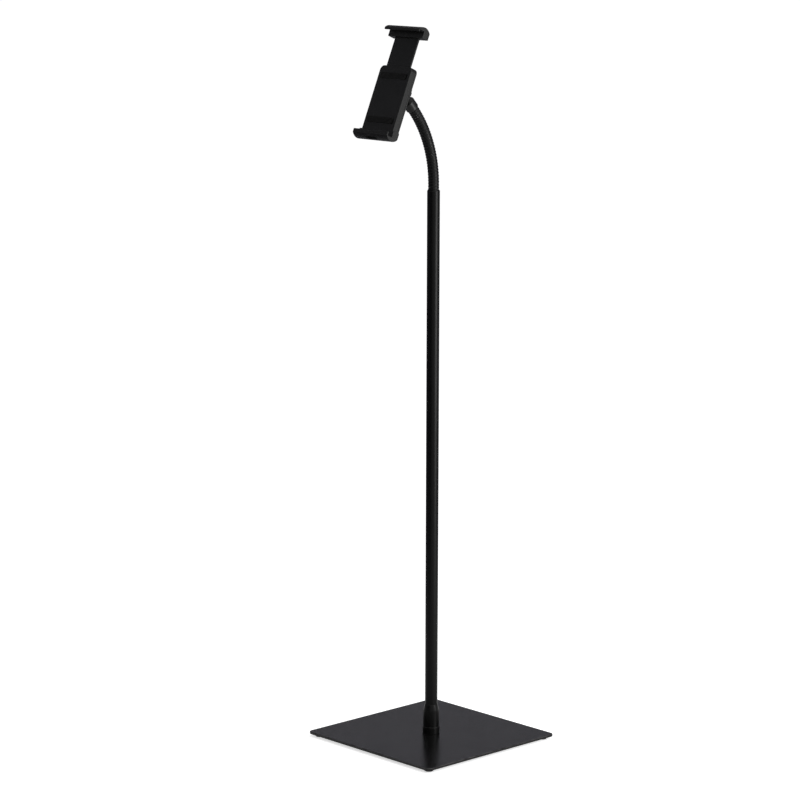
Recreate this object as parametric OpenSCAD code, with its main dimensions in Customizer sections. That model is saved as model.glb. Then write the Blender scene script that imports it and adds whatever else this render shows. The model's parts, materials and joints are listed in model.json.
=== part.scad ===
// Floor stand for a flat device: a square steel base on rubber feet, a straight pole,
// a wound gooseneck, and a ball-jointed cradle whose sprung upper jaw grips the device.
// The origin is on the floor under the middle of the base, +Z is up, the cradle faces -Y.

/* [Base] */
// Side of the square base plate
base_w = 300; // [240:5:360]
// Thickness of the base plate
base_t = 4.5; // [3.8:0.1:8]
// Corner radius of the base plate
base_corner_r = 8; // [4:1:20]

/* [Feet] */
// Diameter of a rubber foot where it meets the plate
foot_d = 16; // [12:1:24]
// Height of a rubber foot
foot_h = 4.5; // [4.5:0.5:9]
// Distance from the plate's edges to the centre of a foot
foot_inset = 15; // [12:1:40]
// How much narrower the radius of a foot is at the floor
foot_taper = 0.5; // [0.3:0.1:1.5]
// Rubber left between a screw head and the plate
foot_web = 2; // [1:0.5:2.5]
// Thread diameter of the foot screws
foot_screw_d = 4; // [3:0.5:5]
// Head diameter of the foot screws
foot_head_d = 7; // [6:0.5:8]
// Head height of the foot screws
foot_head_h = 2; // [1.5:0.1:2.2]
// Steel left above the blind screw holes of the base plate
blind_skin = 1.2; // [0.8:0.1:2]

/* [Pole foot] */
// Diameter of the steel boss on the base plate
boss_d = 29; // [26:0.5:40]
// Height of the boss
boss_h = 12; // [8:1:20]
// Bevel round the top of the boss
boss_bevel = 0.6; // [0.4:0.1:2]
// Outer diameter of the sleeve round the foot of the pole
sleeve_d = 27; // [23:0.5:28]
// Height of the sleeve above the boss
sleeve_h = 39; // [25:1:70]
// Height of the cone at the top of the sleeve
sleeve_cone_h = 11; // [4:0.5:16]
// Width of the sleeve's rim at the top of its cone
sleeve_rim = 0.5; // [0.3:0.1:1]
// Thread diameter of the bolt that holds the pole
bolt_d = 8; // [6:1:10]
// Head diameter of that countersunk bolt
bolt_head_d = 15; // [13:0.5:18]
// Depth of the bolt's conical head
bolt_head_h = 3.4; // [2.5:0.1:3.6]
// Key size of the bolt's hexagon socket
bolt_key = 5; // [4:0.5:6]
// Depth of the hexagon socket
bolt_key_depth = 2.4; // [1.5:0.1:3]
// Length of the bolt inside the plug of the pole
bolt_grip = 24; // [15:1:35]
// Length of the threaded plug in the foot of the pole
foot_plug_len = 40; // [36:1:60]

/* [Pole] */
// Outer diameter of the pole
pole_d = 21.5; // [18:0.5:22]
// Wall of the pole
pole_wall = 1.2; // [1:0.1:2]
// Length of the pole above the boss
pole_len = 924; // [500:1:1200]
// Height of the bevelled lip at the top of the pole
pole_lip = 1.2; // [0.5:0.1:3]

/* [Gooseneck] */
// Diameter of the round wire
wire_d = 3.4; // [3:0.1:3.6]
// Distance between neighbouring turns of the wire
wire_pitch = 5; // [4.9:0.1:5.6]
// How far the filler wire stays below the crests of the round wire
filler_drop = 0.5; // [0.4:0.1:0.8]
// Depth of the filler wire's triangle
filler_depth = 1.7; // [1.4:0.1:2]
// Half of the width of the triangle's outer face
filler_half_w = 0.92; // [0.7:0.02:0.96]
// Length of the winding inside the top of the pole
neck_sunk = 12; // [9:0.5:20]
// Straight length of the winding above the pole
neck_straight = 10; // [4:1:20]
// Length of the bent winding, measured along its middle
neck_arc_len = 141; // [100:1:220]
// Angle of the bend
neck_bend = 42; // [20:1:60]
// Length of the winding inside the cup at its upper end
tip_sunk = 8; // [7:0.5:14]
// Length of the plug below the winding, inside the pole
root_plug_len = 28; // [15:1:50]
// How far the spigots of both ends reach past their cups, inside the winding
spigot_out = 2; // [0:0.5:6]

/* [Ball joint] */
// Diameter of the ferrule at the upper end of the gooseneck
ferrule_d = 21.5; // [21:0.5:24]
// Length of the ferrule
ferrule_len = 22; // [18:1:34]
// Height of the ferrule's cone
ferrule_cone_h = 7; // [4:0.5:8]
// Diameter of the ferrule at the top of its cone
ferrule_top_d = 12; // [11:0.5:13]
// Diameter of the ball
ball_d = 17; // [15:0.5:18]
// Diameter of the neck that carries the ball
stud_d = 6.5; // [5:0.5:7]
// Distance from the ferrule to the centre of the ball
stud_len = 14; // [13.5:0.5:20]
// Diameter of the stud's flange on the ferrule
stud_flange_d = 10; // [9:0.5:10.5]
// Thickness of that flange
stud_flange_h = 2; // [1:0.5:2.5]
// Thread diameter of the stud
stud_thread_d = 8; // [6:0.5:8.5]
// Length of the stud's thread inside the ferrule
stud_grip = 9; // [5:0.5:10]
// Outer diameter of the slit socket round the ball
socket_d = 26; // [24:0.5:27]
// How far the socket reaches behind the centre of the ball
socket_lip = 4.6; // [3.5:0.1:4.8]
// Distance from the centre of the ball to the back of the cradle
socket_reach = 13.5; // [12.5:0.5:18]
// Diameter of the flange of the socket
flange_d = 48; // [46:1:56]
// Thickness of that flange
flange_t = 3; // [2:0.5:4]
// Width of the slits between the socket's fingers
slit_w = 1.6; // [1:0.1:3]
// Depth of the slits ahead of the centre of the ball
slit_depth = 3; // [1:0.5:6]
// Diameter of the pressure pad behind the ball
pad_d = 10; // [8:0.5:11]
// Floor of the pocket that holds the pressure pad
pad_floor = 1; // [0.6:0.1:2]
// Outer diameter of the clamp ring
ring_d = 34; // [31:0.5:36]
// Thickness of the rear wall of the clamp ring
ring_wall = 1.7; // [1.2:0.1:1.8]
// Diameter of the clamp ring's rear opening
ring_mouth_d = 19; // [18.5:0.5:20]
// Number of finger flutes round the clamp ring
ring_flutes = 12; // [6:1:18]
// Radius of a flute
flute_r = 2.4; // [1.5:0.1:3]
// Depth of a flute
flute_depth = 0.9; // [0.5:0.1:1.2]

/* [Cradle body] */
// How far the cradle leans back
cradle_tilt = 23.2; // [5:0.1:40]
// Width of the cradle body
body_w = 74; // [72:1:90]
// Height of the cradle body above the axis of the ball
body_above = 36; // [30:1:40]
// Corner radius of the cradle body
body_corner_r = 8; // [3:0.5:12]
// Thickness of the rear cover
cover_t = 3; // [2.5:0.1:4]
// Depth of the hollow for the slide plate and springs
hollow_t = 8.3; // [7.5:0.1:12]
// Thickness of the front wall
front_wall = 3; // [2:0.1:5]
// Thickness of the lower wall
floor_wall = 4; // [3:0.5:6]
// Height of the blocks that hold the springs' lower ends
anchor_h = 4; // [2:0.5:6]
// Width of those blocks
anchor_w = 7; // [5:0.5:7.4]
// Thickness of the pads that the device leans on
back_pad_t = 1.5; // [1:0.1:3]
// Width of those pads
back_pad_w = 60; // [40:1:66]
// Height of those pads
back_pad_h = 10; // [6:1:16]
// Distance from the body's ends to those pads
back_pad_inset = 12; // [6:1:18]

/* [Jaws] */
// Opening between the jaws' pads
grip_open = 180; // [150:1:200]
// Distance from the axis of the ball down to the lower jaw's pads
grip_below = 84; // [75:1:95]
// Room for the device between the back pads and the jaws' lips
grip_t = 9.2; // [7:0.1:14]
// Width of the jaws
jaw_w = 82; // [78:1:110]
// Thickness of the lips
lip_t = 3; // [2:0.1:4]
// Height of the lower jaw's lip
lip_low_h = 5.2; // [3:0.1:8]
// Height of the upper jaw's lip
lip_top_h = 2.4; // [1.5:0.1:8]
// Depth of the rounded belly under the device's edge
belly_h = 8; // [7:0.1:11]
// Thickness of the jaws behind the device
jaw_back_t = 13.8; // [12:0.1:15]
// Height of the jaws behind the device
jaw_back_h = 10; // [8.5:0.5:12]
// Thickness of the jaws' pads
jaw_pad_t = 1.2; // [0.8:0.1:1.6]
// Distance from the jaws' ends to their pads
jaw_pad_inset = 2; // [1:0.5:6]
// Width of the dip in the lower lip
dip_w = 18; // [8:1:30]
// Depth of that dip
dip_h = 2; // [0.5:0.1:2.5]
// Width of the cable slot through the lower jaw
cable_slot_w = 27; // [12:1:34]
// Size of the cable slot front to back
cable_slot_d = 7; // [5:0.5:8]
// Corner radius of the cable slot
cable_slot_r = 2.4; // [1:0.1:2.4]
// Distance from the cable slot to the lower jaw's pads
slot_margin = 1.5; // [1:0.5:4]

/* [Slide and springs] */
// Width of the slide plate
slide_w = 56; // [50:1:56]
// Thickness of the slide plate
slide_t = 3; // [2:0.1:3.4]
// Length of the slide plate below the upper jaw's pad
slide_len = 116; // [105:1:118]
// How far the slide plate reaches into the upper jaw, past the pad
slide_tuck = 4; // [2:0.5:4.5]
// Outer diameter of a clamp spring
spring_d = 6; // [5:0.1:6.4]
// Wire diameter of a clamp spring
spring_wire_d = 0.9; // [0.7:0.1:1.2]
// Number of turns of a clamp spring
spring_turns = 13; // [8:1:16]
// Distance from the middle to a clamp spring
spring_x = 14; // [12:0.5:15]
// Width of the slots in the slide plate for the springs
spring_slot_w = 8; // [7.8:0.1:10]
// Length of those slots
spring_slot_len = 27; // [20:1:27]
// Width of the rails that guide the slide plate from behind
rail_w = 6; // [4:0.5:7]

/* [Small screws] */
// Thread diameter of the cradle's screws
screw_d = 2.5; // [2:0.1:3]
// Head diameter of the cradle's screws
screw_head_d = 5; // [4:0.1:5.4]
// Depth of the conical screw heads
screw_head_h = 1.4; // [1:0.1:1.8]
// Plastic of the rear cover left ahead of the socket's screws
socket_screw_skin = 1; // [0.8:0.1:1.5]
// Depth of the rear cover's screws in the front shell
cover_screw_grip = 7; // [4:0.5:8]
// Distance from the body's ends to the rear cover's screws
cover_screw_inset = 13; // [10:0.5:18]
// Depth of the lower jaw's screws in the front shell
jaw_screw_grip = 8; // [5:0.5:10]
// Distance of the upper jaw's screws from the middle
slide_screw_x = 20; // [14:0.5:22]
// Distance of those screws below the upper jaw's pad
slide_screw_drop = 3; // [3:0.5:5]

/* [Clearances] */
// Radial clearance of threads and pressed pieces in their holes
fit_clear = 0.05; // [0.02:0.01:0.08]
// Radial clearance of bolts and screw heads
bolt_clear = 0.1; // [0.05:0.01:0.2]
// Clearance of the screw heads in the rubber feet
foot_head_clear = 0.2; // [0.1:0.05:0.4]
// Radial clearance of the winding in the pole and in the ferrule
neck_clear = 0.1; // [0.05:0.01:0.2]
// Radial clearance of the spigots inside the winding
spigot_clear = 0.2; // [0.1:0.05:0.4]
// Radial clearance of the ball in its socket
ball_clear = 0.1; // [0.05:0.01:0.15]
// Radial clearance of the clamp ring on the socket
ring_clear = 0.1; // [0.05:0.01:0.2]
// Clearance between the clamp ring and the ends of the socket
ring_end_gap = 0.3; // [0.2:0.05:0.6]
// Clearance of the slide plate in its guides
slide_clear = 0.3; // [0.15:0.05:0.4]
// Clearance between the jaws' pads and the walls beside them
pad_gap = 0.4; // [0.2:0.1:1]

/* [Hidden] */

$fn = 96;
over = 0.5;

coated_steel = "#2a2a2c";
rubber = "#161616";
zinc = "#b4b7ba";
moulded = "#242426";
bright_steel = "#8d9094";

// Heights up the stand
plate_top = foot_h + base_t;
pole_z0 = plate_top + boss_h;
pole_z1 = pole_z0 + pole_len;
foot_at = base_w / 2 - foot_inset;
foot_ledge = foot_h - foot_web;
foot_hole_d = foot_screw_d + 2 * fit_clear;
foot_thread = base_t - blind_skin;
bore_r = pole_d / 2 - pole_wall;
sleeve_bore_r = pole_d / 2 + fit_clear;
bolt_hole_r = bolt_d / 2 + bolt_clear;
bolt_len = base_t + boss_h + bolt_grip;

// The winding: a round wire in the bore of the pole, and a filler wire between its turns
turn_rings = 8;
neck_r = bore_r - neck_clear;
coil_r = neck_r - wire_d / 2;
spigot_r = (coil_r - wire_d / 2) * cos(180 / turn_rings) - spigot_clear;
spigot_bevel = 1;
filler_r = neck_r - filler_drop;
arc_r = neck_arc_len / (neck_bend * PI / 180);
neck_z0 = pole_z1 - neck_sunk;
arc_from = neck_sunk + neck_straight;
arc_to = arc_from + neck_arc_len;
neck_end = arc_to + tip_sunk;
neck_free = neck_straight + neck_arc_len;

// Bending points of the gooseneck, evenly spaced along its free length
bends = 5;
neck_cuts = [for (k = [1 : bends]) neck_sunk + neck_free * (k - 0.5) / bends];

// The wire's ends turn along the neck and run straight into their seats
tail_r = 2.2;
tail_steps = [90, 45];
coil_from = wire_d + tail_r;
coil_to = neck_end - wire_d - tail_r;
filler_from = coil_from + wire_pitch;
filler_to = coil_to - wire_pitch;

wire_shape = [for (k = [0 : 5]) [coil_r + wire_d / 2 * cos(60 * k), wire_d / 2 * sin(60 * k)]];
filler_shape = [[filler_r, -filler_half_w], [filler_r, filler_half_w], [filler_r - filler_depth, 0]];

// Places of the ball joint
tip_along = [0, -sin(neck_bend), cos(neck_bend)];
neck_tip = [0, -arc_r * (1 - cos(neck_bend)), neck_z0 + arc_from + arc_r * sin(neck_bend)];
ball_at = neck_tip + (ferrule_len + stud_len) * tip_along;
ball_bore_r = ball_d / 2 + ball_clear;
pad_front = socket_reach - pad_floor;
pad_rim = 0.3;
pad_back = sqrt(pow(ball_bore_r, 2) - pow(pad_d / 2, 2)) + pad_rim;
ring_front = -socket_reach + flange_t + ring_end_gap;
ring_back = socket_lip + ring_end_gap + ring_wall;
socket_screw_r = (flange_d + ring_d) / 4;
socket_screw_len = flange_t + cover_t - socket_screw_skin;

// Depths in the cradle, from the ball forwards
rear_y = -socket_reach;
cover_y = rear_y - cover_t;
hollow_y = cover_y - hollow_t;
front_y = hollow_y - front_wall;
rest_y = front_y - back_pad_t;
lip_y = rest_y - grip_t - lip_t;
jaw_depth = lip_t + grip_t + jaw_back_t;
jaw_rear_y = lip_y + jaw_depth;
slide_y = hollow_y + slide_clear;
slide_rear_y = slide_y + slide_t;

// Heights in the cradle, from the ball upwards
low_z = -grip_below;
top_z = low_z + grip_open;
body_z0 = low_z + jaw_back_h;
body_z1 = body_above;
body_h = body_z1 - body_z0;
hollow_z = body_z0 + floor_wall;
hollow_w = slide_w + 2 * slide_clear;
anchor_z = hollow_z + anchor_h;
slide_z = top_z - slide_len;
slot_z = slide_z + spring_slot_len;
side_x = (body_w + hollow_w) / 4;
cover_screw_len = cover_t + cover_screw_grip;

// The belly is an arc through both edges of the jaw's floor
belly_sag = belly_h - jaw_pad_t;
belly_r = (pow(jaw_depth / 2, 2) + pow(belly_sag, 2)) / (2 * belly_sag);
dip_r = (pow(dip_w / 2, 2) + pow(dip_h, 2)) / (2 * dip_h);
slot_y = lip_y + lip_t + grip_t / 2;
jaw_screw_y = (rest_y + jaw_rear_y) / 2;
jaw_screw_seat = low_z - jaw_pad_t - 2 * screw_head_h;
jaw_screw_len = body_z0 + jaw_screw_grip - jaw_screw_seat;
slide_screw_len = jaw_rear_y - slide_y;

// The springs lie in the hollow, each between its block and the end of its slot
spring_coil_r = (spring_d - spring_wire_d) / 2;
spring_len = slot_z - anchor_z;
spring_tail_r = 1;
spring_from = spring_wire_d + spring_tail_r;
spring_to = spring_len - spring_from;
spring_pitch = (spring_to - spring_from) / spring_turns;
spring_y = (hollow_y + cover_y) / 2;
spring_shape = [
    for (k = [0 : 5])
        [spring_coil_r + spring_wire_d / 2 * cos(60 * k), spring_wire_d / 2 * sin(60 * k)]
];

// Angle turned by the neck at a distance along it
function neck_turn(s) = min(max(s - arc_from, 0), neck_arc_len) / arc_r * 180 / PI;

// Middle of the neck, its backward side and its direction, at a distance along it
neck_path = function (s)
    let (a = neck_turn(s), past = max(s - arc_to, 0))
    [
        [0, -arc_r * (1 - cos(a)), neck_z0 + min(s, arc_from) + arc_r * sin(a)]
            + past * [0, -sin(a), cos(a)],
        [0, cos(a), sin(a)],
        [0, -sin(a), cos(a)]
    ];

// The same for a spring on the given side, from its lower block upwards
function spring_path(side) = function (s)
    [[side * spring_x, spring_y, anchor_z + s], [0, 1, 0], [0, 0, 1]];

// Rings of a helix: distance along the path, angle round it, and turn towards the path
function helix_rings(from, to, pitch) =
    let (count = ceil((to - from) / pitch * turn_rings))
    [for (i = [0 : count]) let (s = from + (to - from) * i / count) [s, 360 * s / pitch, 0]];

// Rings of a straight end: dir is -1 below the first ring of a helix and 1 above its last
function tail_rings(s, pitch, dir, bend_r, helix_r, straight) =
    let (
        rings = [
            for (b = tail_steps)
                let (swing = bend_r * sin(b) / helix_r * 180 / PI)
                    [s + dir * bend_r * (1 - cos(b)), 360 * s / pitch + dir * swing, b]
        ],
        last = [rings[0][0] + dir * straight, rings[0][1], 90]
    )
    dir < 0 ? concat([last], rings) : concat([rings[1], rings[0]], [last]);

// Points of one ring: the shape gives distances from the path's middle and along the path
function ring_points(path, ring, shape) =
    let (
        at = path(ring[0]),
        outward = cos(ring[1]) * [1, 0, 0] + sin(ring[1]) * at[1],
        round = -sin(ring[1]) * [1, 0, 0] + cos(ring[1]) * at[1],
        across = cos(ring[2]) * at[2] - sin(ring[2]) * round
    )
    [for (q = shape) at[0] + q[0] * outward + q[1] * across];

function wire_points(path, rings, shape) = [for (ring = rings) ring_points(path, ring, shape)];

// Least distance between points of a wire that lie one turn apart
function least_gap(points) =
    min([
        for (i = [0 : len(points) - turn_rings - 1])
            for (p = points[i])
                for (q = points[i + turn_rings])
                    norm(p - q)
    ]);

// Closed tube through rings of points
module wire(points) {
    n = len(points[0]);
    last = len(points) - 1;
    sides = [
        for (i = [0 : last - 1])
            for (k = [0 : n - 1])
                let (a = i * n + k, b = i * n + (k + 1) % n)
                    each [[a, a + n, b], [b, a + n, b + n]]
    ];
    ends = [
        for (k = [1 : n - 2])
            each [[0, k, k + 1], [last * n, last * n + k + 1, last * n + k]]
    ];
    polyhedron([for (ring = points) each ring], concat(sides, ends));
}

module rounded_rect(w, h, r) {
    square([w - 2 * r, h], center = true);
    square([w, h - 2 * r], center = true);
    for (x = [-1, 1], y = [-1, 1])
        translate([x * (w / 2 - r), y * (h / 2 - r)]) circle(r);
}

module at_feet() {
    for (x = [-1, 1], y = [-1, 1])
        translate([x * foot_at, y * foot_at, 0]) children();
}

module at_tip() {
    translate(neck_tip) rotate([neck_bend, 0, 0]) children();
}

module at_cradle() {
    translate(ball_at) rotate([-cradle_tilt, 0, 0]) children();
}

// Turns +Z to the cradle's back
module facing_back() {
    rotate([-90, 0, 0]) children();
}

// Plate across the cradle, from the depth y forwards
module cradle_plate(y, t, z0, z1, w, r) {
    translate([0, y, (z0 + z1) / 2])
        rotate([90, 0, 0])
            linear_extrude(t) rounded_rect(w, z1 - z0, r);
}

// Plate of the cradle body's outline, square at the lower end that stands on the lower jaw
module body_plate(y, t) {
    cradle_plate(y, t, body_z0, body_z1, body_w, body_corner_r);
    translate([-body_w / 2, y - t, body_z0]) cube([body_w, t, body_h / 2]);
}

// Countersunk screw with its head's face at the origin, pointing down
module flat_screw(d, head_d, head_h, length) {
    rotate_extrude()
        polygon([[0, 0], [head_d / 2, 0], [d / 2, -head_h], [d / 2, -length], [0, -length]]);
}

module small_screw(length) {
    flat_screw(screw_d, screw_head_d, screw_head_h, length);
}

// Hole for such a screw, open above
module small_screw_hole(length) {
    head_r = screw_head_d / 2 + bolt_clear;
    hole_r = screw_d / 2 + fit_clear;
    rotate_extrude()
        polygon([
            [0, over], [head_r, over], [head_r, 0], [hole_r, -screw_head_h],
            [hole_r, -length - over], [0, -length - over]
        ]);
}

// Outline of a jaw from its lip backwards, with the pad's face at height 0
module jaw_outline(lip_h) {
    difference() {
        intersection() {
            translate([jaw_depth / 2, belly_r - belly_h]) circle(belly_r);
            translate([0, -belly_h - over]) square([jaw_depth, belly_h + over + jaw_back_h]);
        }
        translate([lip_t, -jaw_pad_t]) square([grip_t, jaw_pad_t + jaw_back_h + over]);
        translate([-over, lip_h]) square([lip_t + 2 * over, jaw_back_h]);
    }
}

// Stretches an outline of depths and heights across the cradle
module across_cradle(w) {
    translate([-w / 2, 0, 0])
        rotate([90, 0, 90])
            linear_extrude(w) children();
}

module at_cover_screws() {
    for (x = [-1, 1], z = [body_z0 + cover_screw_inset, body_z1 - cover_screw_inset])
        translate([x * side_x, rear_y, z]) facing_back() children();
}

module at_socket_screws() {
    for (a = [45 : 90 : 315])
        rotate([0, 0, a]) translate([socket_screw_r, 0, -socket_reach + flange_t]) children();
}

module at_jaw_screws() {
    for (x = [-1, 1])
        translate([x * side_x, jaw_screw_y, jaw_screw_seat]) rotate([180, 0, 0]) children();
}

module at_slide_screws() {
    for (x = [-1, 1])
        translate([x * slide_screw_x, jaw_rear_y, top_z - slide_screw_drop]) facing_back() children();
}

module base_plate() {
    head_r = bolt_head_d / 2 + bolt_clear;
    color(coated_steel)
        difference() {
            translate([0, 0, foot_h])
                linear_extrude(base_t) rounded_rect(base_w, base_w, base_corner_r);
            translate([0, 0, foot_h])
                rotate_extrude()
                    polygon([
                        [0, -over], [head_r, -over], [head_r, 0], [bolt_hole_r, bolt_head_h],
                        [bolt_hole_r, base_t + over], [0, base_t + over]
                    ]);
            at_feet()
                translate([0, 0, foot_h - over]) cylinder(d = foot_hole_d, h = foot_thread + over);
        }
}

module base_feet() {
    color(rubber)
        at_feet()
            difference() {
                cylinder(d1 = foot_d - 2 * foot_taper, d2 = foot_d, h = foot_h);
                translate([0, 0, -over])
                    cylinder(d = foot_head_d + 2 * foot_head_clear, h = foot_ledge + over);
                cylinder(d = foot_hole_d, h = foot_h + over);
            }
}

module foot_screws() {
    color(zinc)
        at_feet()
            translate([0, 0, foot_ledge - foot_head_h]) {
                cylinder(d = foot_head_d, h = foot_head_h);
                cylinder(d = foot_screw_d, h = foot_head_h + foot_web + foot_thread - fit_clear);
            }
}

module base_bolt() {
    color(zinc)
        translate([0, 0, foot_h])
            difference() {
                rotate([180, 0, 0]) flat_screw(bolt_d, bolt_head_d, bolt_head_h, bolt_len);
                translate([0, 0, -over])
                    cylinder(d = bolt_key / cos(30), h = bolt_key_depth + over, $fn = 6);
            }
}

module pole_boss() {
    r = boss_d / 2;
    color(coated_steel)
        rotate_extrude()
            polygon([
                [bolt_hole_r, plate_top], [r, plate_top], [r, pole_z0 - boss_bevel],
                [r - boss_bevel, pole_z0], [bolt_hole_r, pole_z0]
            ]);
}

module pole_sleeve() {
    top = pole_z0 + sleeve_h;
    color(coated_steel)
        rotate_extrude()
            polygon([
                [sleeve_bore_r, pole_z0], [sleeve_d / 2, pole_z0],
                [sleeve_d / 2, top - sleeve_cone_h], [sleeve_bore_r + sleeve_rim, top],
                [sleeve_bore_r, top]
            ]);
}

module pole_tube() {
    r = pole_d / 2;
    color(coated_steel)
        rotate_extrude()
            polygon([
                [bore_r, pole_z0], [r, pole_z0], [r, pole_z1 - pole_lip],
                [r - pole_wall / 2, pole_z1], [bore_r, pole_z1]
            ]);
}

module pole_foot_plug() {
    color(bright_steel)
        translate([0, 0, pole_z0])
            difference() {
                cylinder(r = bore_r - fit_clear, h = foot_plug_len);
                translate([0, 0, -over])
                    cylinder(d = bolt_d + 2 * fit_clear, h = foot_plug_len + 2 * over);
            }
}

module neck_root_plug() {
    r = bore_r - fit_clear;
    top = pole_z1 + spigot_out;
    color(bright_steel)
        rotate_extrude()
            polygon([
                [0, neck_z0 - root_plug_len], [r, neck_z0 - root_plug_len], [r, neck_z0],
                [spigot_r, neck_z0], [spigot_r, top - spigot_bevel], [spigot_r - spigot_bevel, top],
                [0, top]
            ]);
}

// One length of the round wire, between two bending points or a bending point and an end
module neck_coil(k) {
    first = k == 1;
    last = k == bends + 1;
    from = first ? coil_from : neck_cuts[k - 2];
    to = last ? coil_to : neck_cuts[k - 1];
    rings = concat(
        first ? tail_rings(from, wire_pitch, -1, tail_r, coil_r, wire_d) : [],
        helix_rings(from, to, wire_pitch),
        last ? tail_rings(to, wire_pitch, 1, tail_r, coil_r, wire_d) : []
    );
    color(coated_steel) wire(wire_points(neck_path, rings, wire_shape));
}

// The filler wire of the same length, half a turn behind the round wire
module neck_filler(k) {
    from = k == 1 ? filler_from : neck_cuts[k - 2];
    to = k == bends + 1 ? filler_to : neck_cuts[k - 1];
    rings = [
        for (ring = helix_rings(from, to, wire_pitch))
            ring + [0, 180, 0]
    ];
    color(coated_steel) wire(wire_points(neck_path, rings, filler_shape));
}

module neck_tip_ferrule() {
    r = ferrule_d / 2;
    cup_r = neck_r + neck_clear;
    color(coated_steel)
        at_tip()
            difference() {
                rotate_extrude()
                    polygon([
                        [0, -spigot_out], [spigot_r - spigot_bevel, -spigot_out],
                        [spigot_r, spigot_bevel - spigot_out], [spigot_r, tip_sunk],
                        [cup_r, tip_sunk], [cup_r, 0], [r, 0], [r, ferrule_len - ferrule_cone_h],
                        [ferrule_top_d / 2, ferrule_len], [0, ferrule_len]
                    ]);
                translate([0, 0, ferrule_len - stud_grip])
                    cylinder(d = stud_thread_d + 2 * fit_clear, h = stud_grip + over);
            }
}

module ball_stud() {
    color(bright_steel)
        at_tip() {
            translate([0, 0, ferrule_len - stud_grip]) cylinder(d = stud_thread_d, h = stud_grip + over);
            translate([0, 0, ferrule_len]) cylinder(d = stud_flange_d, h = stud_flange_h);
            translate([0, 0, ferrule_len]) cylinder(d = stud_d, h = stud_len);
            translate([0, 0, ferrule_len + stud_len]) sphere(d = ball_d);
        }
}

module socket_pad() {
    color(rubber)
        at_cradle()
            facing_back()
                difference() {
                    translate([0, 0, -pad_front]) cylinder(d = pad_d, h = pad_front - pad_back);
                    sphere(r = ball_bore_r);
                }
}

module ball_socket() {
    color(moulded)
        at_cradle()
            facing_back()
                difference() {
                    translate([0, 0, -socket_reach]) {
                        cylinder(d = flange_d, h = flange_t);
                        cylinder(d = socket_d, h = socket_reach + socket_lip);
                    }
                    sphere(r = ball_bore_r);
                    translate([0, 0, -pad_front])
                        cylinder(d = pad_d + 2 * fit_clear, h = pad_front - pad_d / 2);
                    for (a = [0, 90])
                        rotate([0, 0, a])
                            translate([-socket_d, -slit_w / 2, -slit_depth])
                                cube([2 * socket_d, slit_w, slit_depth + socket_lip + over]);
                    at_socket_screws() small_screw_hole(socket_screw_len);
                }
}

module socket_screws() {
    color(zinc)
        at_cradle()
            facing_back()
                at_socket_screws() small_screw(socket_screw_len);
}

module clamp_ring() {
    bore_len = socket_lip + ring_end_gap - ring_front;
    color(moulded)
        at_cradle()
            facing_back()
                translate([0, 0, ring_front])
                    difference() {
                        cylinder(d = ring_d, h = ring_back - ring_front);
                        translate([0, 0, -over])
                            cylinder(d = socket_d + 2 * ring_clear, h = bore_len + over);
                        cylinder(d = ring_mouth_d, h = ring_back - ring_front + over);
                        for (i = [0 : ring_flutes - 1])
                            rotate([0, 0, 360 * (i + 0.5) / ring_flutes])
                                translate([ring_d / 2 + flute_r - flute_depth, 0, -over])
                                    cylinder(r = flute_r, h = ring_back - ring_front + 2 * over);
                    }
}

module cradle_front() {
    color(moulded)
        at_cradle() {
            difference() {
                body_plate(cover_y, cover_y - front_y);
                translate([-hollow_w / 2, hollow_y, hollow_z])
                    cube([hollow_w, hollow_t + over, body_z1 - hollow_z + over]);
                at_cover_screws() small_screw_hole(cover_screw_len);
                at_jaw_screws() small_screw_hole(jaw_screw_len);
            }
            for (x = [-1, 1])
                translate([x * spring_x - anchor_w / 2, hollow_y - over, hollow_z - over])
                    cube([anchor_w, cover_y - hollow_y, anchor_h + over]);
        }
}

module cradle_cover() {
    rail_x = (hollow_w - rail_w) / 2 - slide_clear;
    rail_y = slide_rear_y + slide_clear;
    rail_z = hollow_z + slide_clear;
    color(moulded)
        at_cradle()
            difference() {
                union() {
                    body_plate(rear_y, cover_t);
                    for (x = [-1, 1])
                        translate([x * rail_x - rail_w / 2, rail_y, rail_z])
                            cube([rail_w, cover_y - rail_y + over, body_z1 - rail_z]);
                }
                at_cover_screws() small_screw_hole(cover_screw_len);
                facing_back()
                    at_socket_screws() small_screw_hole(socket_screw_len);
            }
}

module cover_screws() {
    color(zinc)
        at_cradle()
            at_cover_screws() small_screw(cover_screw_len);
}

module back_pads() {
    r = back_pad_h / 4;
    color(rubber)
        at_cradle()
            for (z = [body_z0 + back_pad_inset, body_z1 - back_pad_inset - back_pad_h])
                cradle_plate(front_y, back_pad_t, z, z + back_pad_h, back_pad_w, r);
}

module lower_jaw() {
    color(moulded)
        at_cradle()
            difference() {
                across_cradle(jaw_w) translate([lip_y, low_z]) jaw_outline(lip_low_h);
                translate([0, lip_y - over, low_z + lip_low_h - dip_h + dip_r])
                    facing_back() cylinder(r = dip_r, h = lip_t + 2 * over);
                translate([0, slot_y, low_z - belly_h - over])
                    linear_extrude(2 * belly_h)
                        rounded_rect(cable_slot_w, cable_slot_d, cable_slot_r);
                at_jaw_screws() {
                    small_screw_hole(jaw_screw_len);
                    cylinder(d = screw_head_d + 2 * bolt_clear, h = belly_h);
                }
            }
}

module lower_jaw_pads() {
    from = cable_slot_w / 2 + slot_margin;
    to = jaw_w / 2 - jaw_pad_inset;
    color(rubber)
        at_cradle()
            for (x = [-to, from])
                translate([x, lip_y + lip_t + pad_gap, low_z - jaw_pad_t])
                    cube([to - from, grip_t - 2 * pad_gap, jaw_pad_t]);
}

module lower_jaw_screws() {
    color(zinc)
        at_cradle()
            at_jaw_screws() small_screw(jaw_screw_len);
}

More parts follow.
